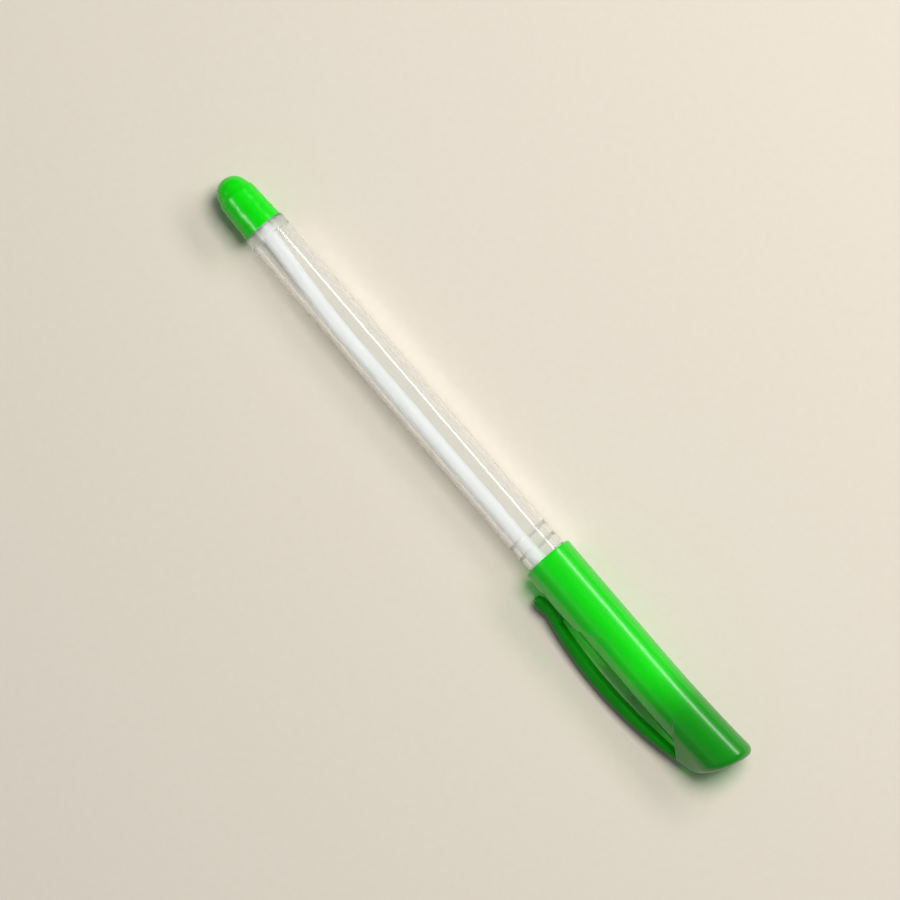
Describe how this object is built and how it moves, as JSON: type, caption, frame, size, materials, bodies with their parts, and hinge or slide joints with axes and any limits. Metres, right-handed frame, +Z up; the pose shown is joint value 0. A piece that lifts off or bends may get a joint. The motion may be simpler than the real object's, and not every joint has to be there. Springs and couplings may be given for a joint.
{
  "type": "stick ballpoint pen",
  "caption": "Slim capped ballpoint pen: clear round barrel with a bowed white refill, domed green end cap, grip rings and a pull-off green cap with a springy bowed clip.",
  "frame": {"origin": "middle of the pen's box on the table that it lies on", "axes": "+X along the pen towards the cap's closed end, +Z up, clip on the -Y side"},
  "size_m": [0.15, 0.0145, 0.0108],
  "materials": {
    "clear_polystyrene": "clear, glossy, lightly scratched",
    "green_polypropylene": "semi-gloss moulded",
    "natural_polypropylene": "milky, satin",
    "white_polypropylene": "extruded, satin",
    "green_ink": "thick oily paste",
    "white_acetal": "satin moulded",
    "turned_brass": "fine turned",
    "polished_carbide": "polished",
    "green_cap_polypropylene": "translucent, glossy moulded"
  },
  "bodies": {
    "pen": {"barrel": "clear_polystyrene", "end_cap": "green_polypropylene", "nose_cone": "natural_polypropylene", "refill_tube": "white_polypropylene", "ink_column": "green_ink", "tip_holder": "white_acetal", "writing_point": "turned_brass"},
    "cap": {"cap": "green_cap_polypropylene"},
    "clip": {"cap_clip": "green_cap_polypropylene"},
    "ball": {"writing_ball": "polished_carbide"}
  },
  "joints": [
    {"name": "cap_slide", "type": "slide", "parent": "pen", "child": "cap", "axis": [1, 0, 0], "range_m": [0, 0.05]},
    {"name": "clip_flex", "type": "hinge", "parent": "cap", "child": "clip", "pos_m": [0.0666, -0.00399, 0.00257], "axis": [0, -0.4431, 0.8965], "range_deg": [0, 4.5], "stiffness_Nm_per_rad": 1},
    {"name": "ball_roll", "type": "hinge", "parent": "pen", "child": "ball", "pos_m": [0.06375, 0.00145, 0.00526], "axis": [0, 1, 0], "continuous": true}
  ]
}
